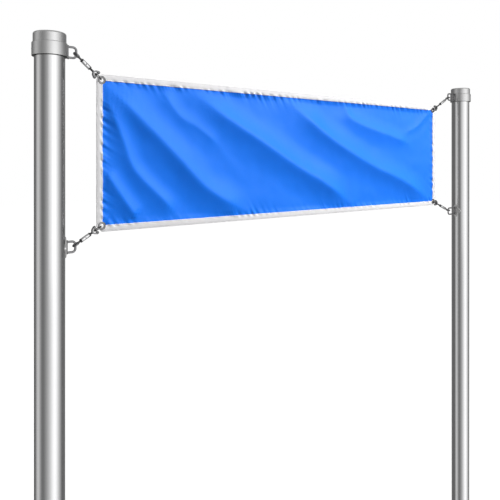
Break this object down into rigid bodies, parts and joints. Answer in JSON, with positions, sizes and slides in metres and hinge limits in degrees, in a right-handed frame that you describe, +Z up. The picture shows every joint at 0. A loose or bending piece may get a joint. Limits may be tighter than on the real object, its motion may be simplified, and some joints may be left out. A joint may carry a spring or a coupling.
{
  "type": "banner pole pair",
  "caption": "Pair of upright metal tube poles with a hemmed cloth banner stretched between them by rigging screws at its corners.",
  "frame": {"origin": "centre of the left base flange's bottom face, at ground level", "axes": "+Z up along the poles, +X from the left pole to the right one, +Y away from the side that the picture shows"},
  "size_m": [2.041, 0.18, 2],
  "materials": {
    "pole_steel": "satin",
    "turned_steel": "brushed",
    "flange_steel": "satin",
    "rigging_steel": "polished",
    "grommet_steel": "polished",
    "banner_cloth": "satin weave",
    "banner_hem": "woven"
  },
  "bodies": {
    "stand": {"banner_cloth": "banner_cloth", "banner_hem": "banner_hem", "left_base_flange": "flange_steel", "left_cap": "turned_steel", "left_collar": "turned_steel", "left_pole": "pole_steel", "left_saddle": "turned_steel", "lower_left_eye": "rigging_steel", "lower_left_eye_screw": "rigging_steel", "lower_left_far_nut": "rigging_steel", "lower_left_fork_screw": "rigging_steel", "lower_left_grommet": "grommet_steel", "lower_left_near_nut": "rigging_steel", "lower_left_ring": "rigging_steel", "lower_right_eye": "rigging_steel", "lower_right_eye_screw": "rigging_steel", "lower_right_far_nut": "rigging_steel", "lower_right_fork_screw": "rigging_steel", "lower_right_grommet": "grommet_steel", "lower_right_near_nut": "rigging_steel", "lower_right_ring": "rigging_steel", "right_base_flange": "flange_steel", "right_cap": "turned_steel", "right_collar": "turned_steel", "right_pole": "pole_steel", "right_saddle": "turned_steel", "upper_left_eye": "rigging_steel", "upper_left_eye_screw": "rigging_steel", "upper_left_far_nut": "rigging_steel", "upper_left_fork_screw": "rigging_steel", "upper_left_grommet": "grommet_steel", "upper_left_near_nut": "rigging_steel", "upper_left_ring": "rigging_steel", "upper_right_eye": "rigging_steel", "upper_right_eye_screw": "rigging_steel", "upper_right_far_nut": "rigging_steel", "upper_right_fork_screw": "rigging_steel", "upper_right_grommet": "grommet_steel", "upper_right_near_nut": "rigging_steel", "upper_right_ring": "rigging_steel"},
    "upper_left_barrel": {"upper_left_barrel": "rigging_steel"},
    "lower_left_barrel": {"lower_left_barrel": "rigging_steel"},
    "upper_right_barrel": {"upper_right_barrel": "rigging_steel"},
    "lower_right_barrel": {"lower_right_barrel": "rigging_steel"}
  },
  "joints": [
    {"name": "upper_left_barrel_turn", "type": "hinge", "parent": "stand", "child": "upper_left_barrel", "pos_m": [0.09577, 0, 1.92962], "axis": [0.7611, 0, -0.6486], "range_deg": [-900, 900]},
    {"name": "lower_left_barrel_turn", "type": "hinge", "parent": "stand", "child": "lower_left_barrel", "pos_m": [0.09423, 0, 1.46815], "axis": [0.8527, 0, 0.5224], "range_deg": [-900, 900]},
    {"name": "upper_right_barrel_turn", "type": "hinge", "parent": "stand", "child": "upper_right_barrel", "pos_m": [1.72069, 0, 1.92962], "axis": [-0.8816, 0, -0.472], "range_deg": [-900, 900]},
    {"name": "lower_right_barrel_turn", "type": "hinge", "parent": "stand", "child": "lower_right_barrel", "pos_m": [1.72223, 0, 1.46815], "axis": [-0.9317, 0, 0.3632], "range_deg": [-900, 900]}
  ]
}
